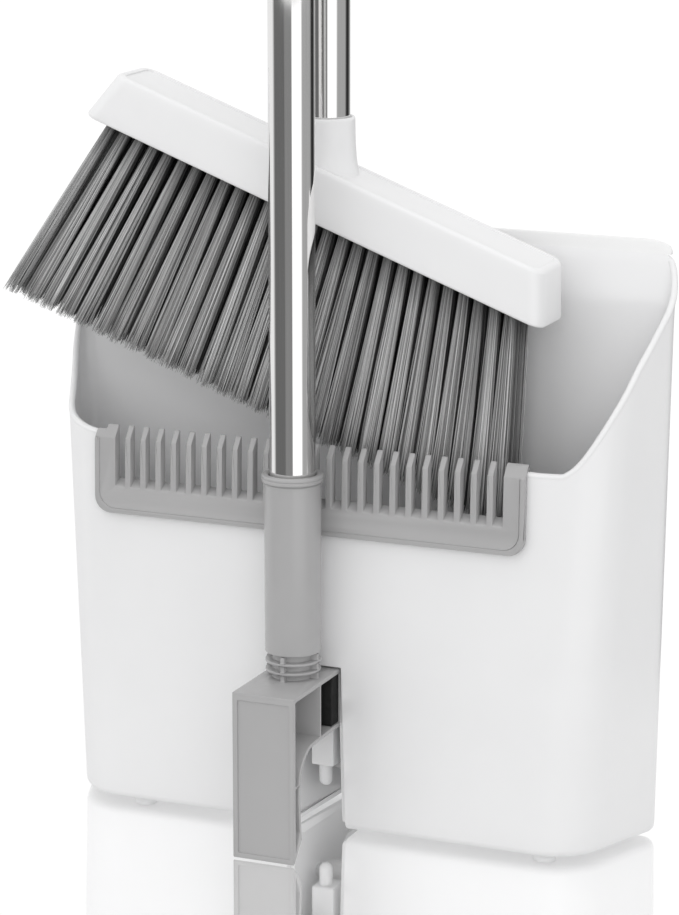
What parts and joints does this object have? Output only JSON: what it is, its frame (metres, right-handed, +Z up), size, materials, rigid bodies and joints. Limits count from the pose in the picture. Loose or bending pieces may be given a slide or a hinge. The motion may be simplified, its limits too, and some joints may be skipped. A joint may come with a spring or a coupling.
{
  "type": "dustpan and brush set",
  "caption": "Long-handled dustpan with a bristle comb on its rim, a swivelling chromed handle on a hinge bracket, and an angled broom stored upright in the pan.",
  "frame": {"origin": "centre of the set's footprint box, at floor level, in its storage pose", "axes": "+Z up along both handles, +X to the right along the pan's front wall, +Y from the hinge bracket towards the pan's back wall"},
  "size_m": [0.2938, 0.1012, 1.362],
  "materials": {
    "white_plastic": "smooth, softly glossy white",
    "lip_rubber": "soft white edge strip",
    "grey_plastic": "satin mid grey",
    "grip_rubber": "soft-touch dark grey",
    "chrome_tube": "polished bright metal",
    "steel": "plain steel",
    "buffer_rubber": "dull black",
    "bristle_bed": "matte",
    "bristle_fibre": "dull synthetic fibre"
  },
  "bodies": {
    "pan": {"pan_shell": "white_plastic", "pan_lip": "lip_rubber", "comb_rack": "grey_plastic", "hinge_axle": "steel", "axle_cap": "white_plastic"},
    "pole": {"hinge_bracket": "grey_plastic", "hinge_buffer": "buffer_rubber", "latch_block": "white_plastic", "latch_pin": "white_plastic", "pole_sleeve": "grey_plastic", "pan_tube_lower": "chrome_tube", "pan_tube_collar": "grey_plastic", "pan_tube_plug": "grey_plastic", "pan_tube_upper": "chrome_tube", "pan_grip": "grip_rubber", "pan_hang_cap": "grey_plastic", "pole_clip": "grey_plastic", "clip_screw": "steel"},
    "broom": {"broom_head": "white_plastic", "bristle_plate": "bristle_bed", "broom_bristles": "bristle_fibre", "broom_tube_lower": "chrome_tube", "broom_tube_middle": "chrome_tube", "broom_tube_upper": "chrome_tube", "broom_tube_a_collar": "grey_plastic", "broom_tube_a_plug": "grey_plastic", "broom_tube_b_collar": "grey_plastic", "broom_tube_b_plug": "grey_plastic", "broom_grip": "grip_rubber", "broom_hang_cap": "grey_plastic"}
  },
  "joints": [
    {"name": "pole_hinge", "type": "hinge", "parent": "pan", "child": "pole", "pos_m": [0.0009, 0.01703, 0.026], "axis": [1, 0, 0], "range_deg": [0, 90]},
    {"name": "broom_lift", "type": "slide", "parent": "pan", "child": "broom", "axis": [0, 0, 1], "range_m": [0, 0.22]}
  ]
}
